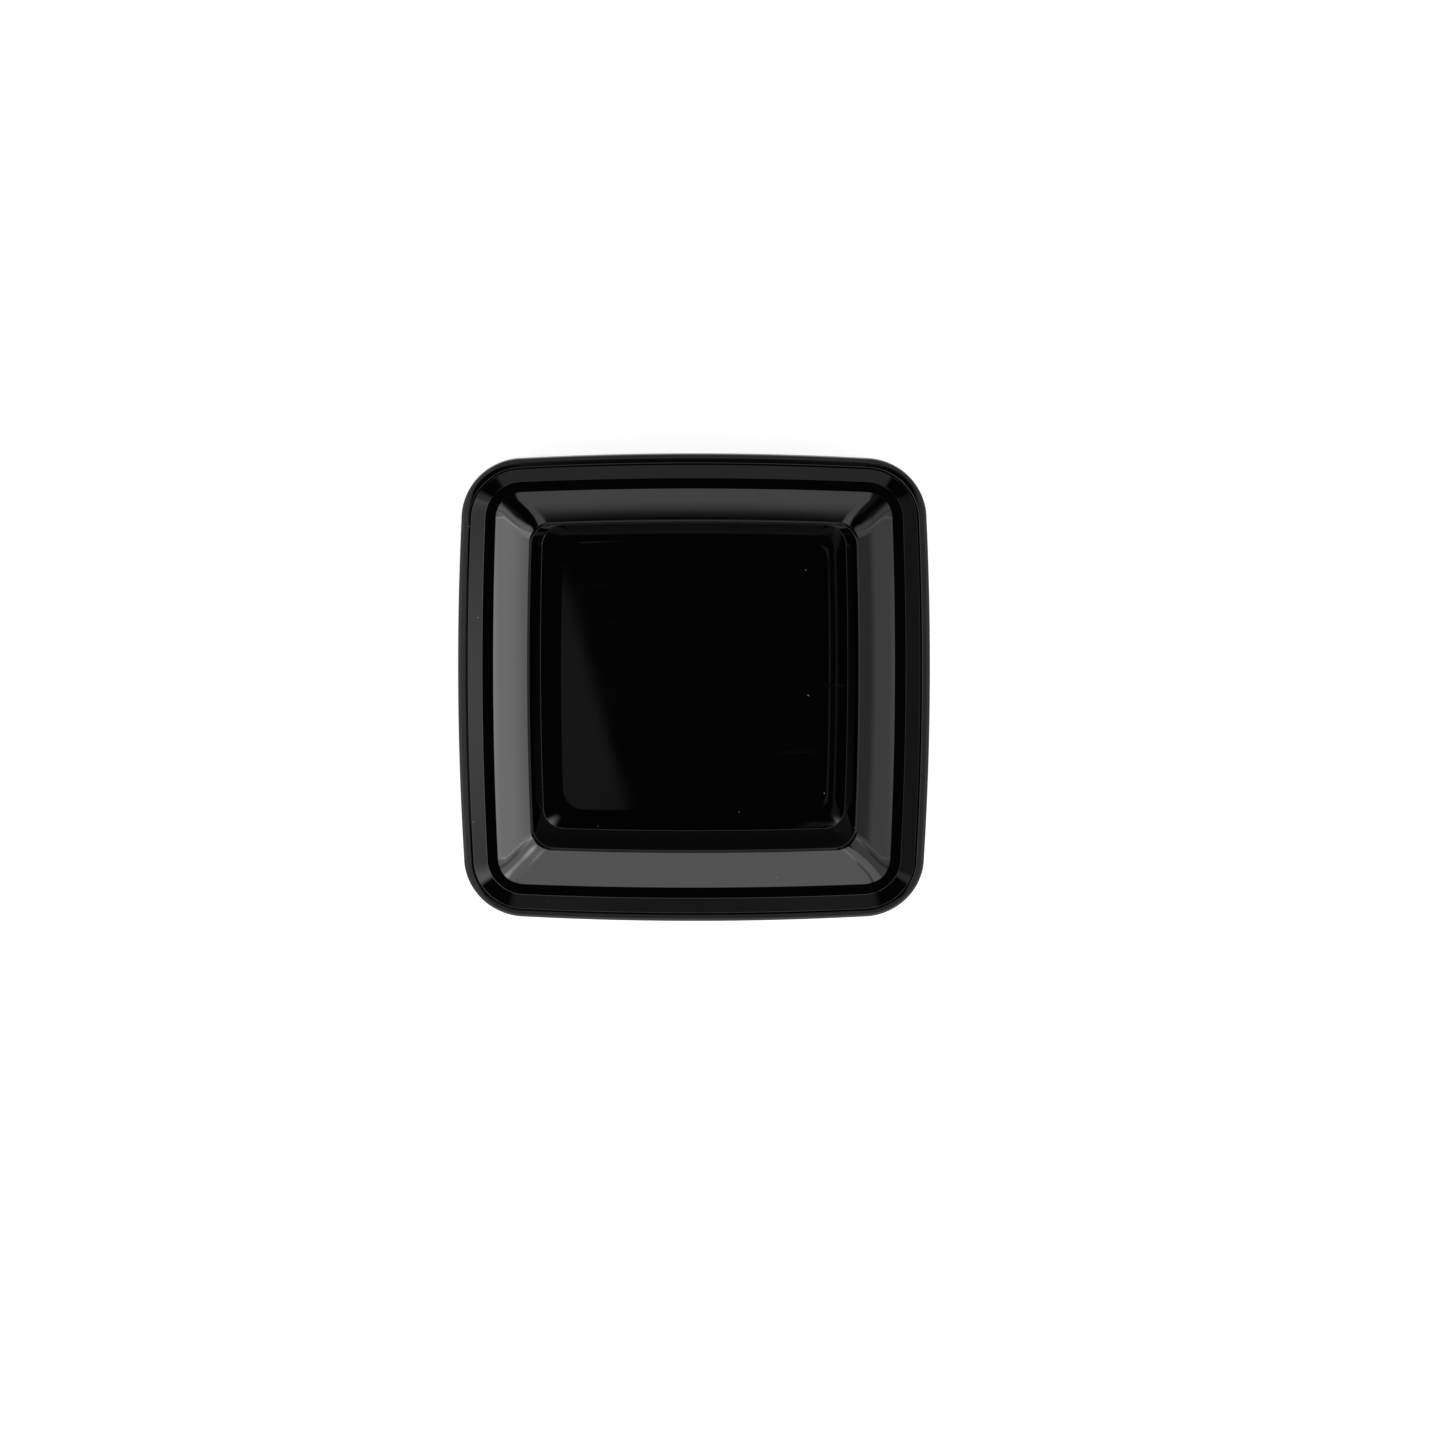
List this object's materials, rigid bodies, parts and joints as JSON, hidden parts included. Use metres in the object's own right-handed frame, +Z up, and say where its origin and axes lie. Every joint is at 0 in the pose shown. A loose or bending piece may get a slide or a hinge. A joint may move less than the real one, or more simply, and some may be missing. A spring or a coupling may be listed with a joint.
{
  "type": "powder compact",
  "caption": "Square pressed powder compact with a dished overhanging lid on a back hinge, mirror, pan, puff and a front push button.",
  "frame": {"origin": "middle of the underside of the closed compact", "axes": "+Z up, +Y from the button towards the hinge, +X to the right seen from the button"},
  "size_m": [0.07, 0.0716, 0.0215],
  "materials": {
    "lid_gloss": "polished black",
    "base_gloss": "polished black",
    "button_gloss": "polished black",
    "inner_satin": "satin black",
    "mirror_glass": "silvered glass",
    "foam_pad": "double-sided foam tape",
    "glue": "soft adhesive",
    "pan_aluminium": "pressed sheet",
    "powder": "pressed matt powder",
    "clear_film": "clear film",
    "puff_velour": "short velour pile",
    "puff_satin": "woven satin",
    "steel": "drawn steel",
    "label_paper": "blank adhesive label"
  },
  "bodies": {
    "base": {"base_shell": "base_gloss", "base_deck": "inner_satin", "pan_adhesive": "glue", "powder_pan": "pan_aluminium", "pressed_powder": "powder", "separator_sheet": "clear_film", "powder_puff": "puff_velour", "puff_backing": "puff_satin", "puff_ribbon": "puff_satin", "hinge_pin_left": "steel", "hinge_pin_right": "steel", "button_spring": "steel", "base_label": "label_paper"},
    "lid": {"lid_cover": "lid_gloss", "mirror_frame": "inner_satin", "mirror": "mirror_glass", "mirror_adhesive": "foam_pad"},
    "button": {"push_button": "button_gloss"}
  },
  "joints": [
    {"name": "lid_hinge", "type": "hinge", "parent": "base", "child": "lid", "pos_m": [0, 0.03145, 0.01], "axis": [-1, 0, 0], "range_deg": [0, 115]},
    {"name": "button_press", "type": "slide", "parent": "base", "child": "button", "axis": [0, 1, 0], "range_m": [0, 0.0008], "stiffness_N_per_m": 400, "springref_m": -0.0004, "deforming": ["button_spring"]}
  ]
}
